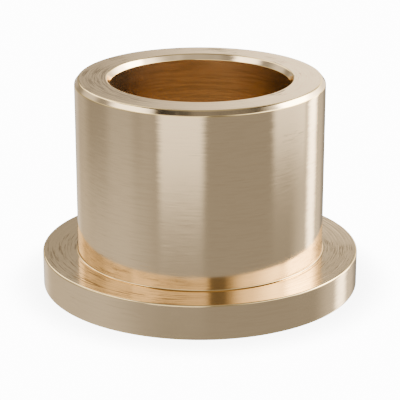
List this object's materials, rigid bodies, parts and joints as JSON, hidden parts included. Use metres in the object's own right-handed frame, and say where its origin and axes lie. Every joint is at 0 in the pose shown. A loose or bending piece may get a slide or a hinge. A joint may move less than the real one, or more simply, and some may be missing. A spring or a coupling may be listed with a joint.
{
  "type": "flanged sleeve bushing",
  "caption": "Turned bronze sleeve bushing with a flange at its housing end: the plain bore carries a shaft, the sleeve presses into a housing and the flange takes end thrust.",
  "frame": {"origin": "centre of the flange's thrust face, on the bore's axis", "axes": "+Z along the bore's axis, from the flange towards the sleeve's free end; X and Y are alike, because the part is round"},
  "size_m": [0.045, 0.045, 0.03],
  "materials": {
    "bronze": "fine turned, satin, with circumferential tool marks"
  },
  "bodies": {
    "root": {"flanged_bushing": "bronze"}
  },
  "joints": []
}
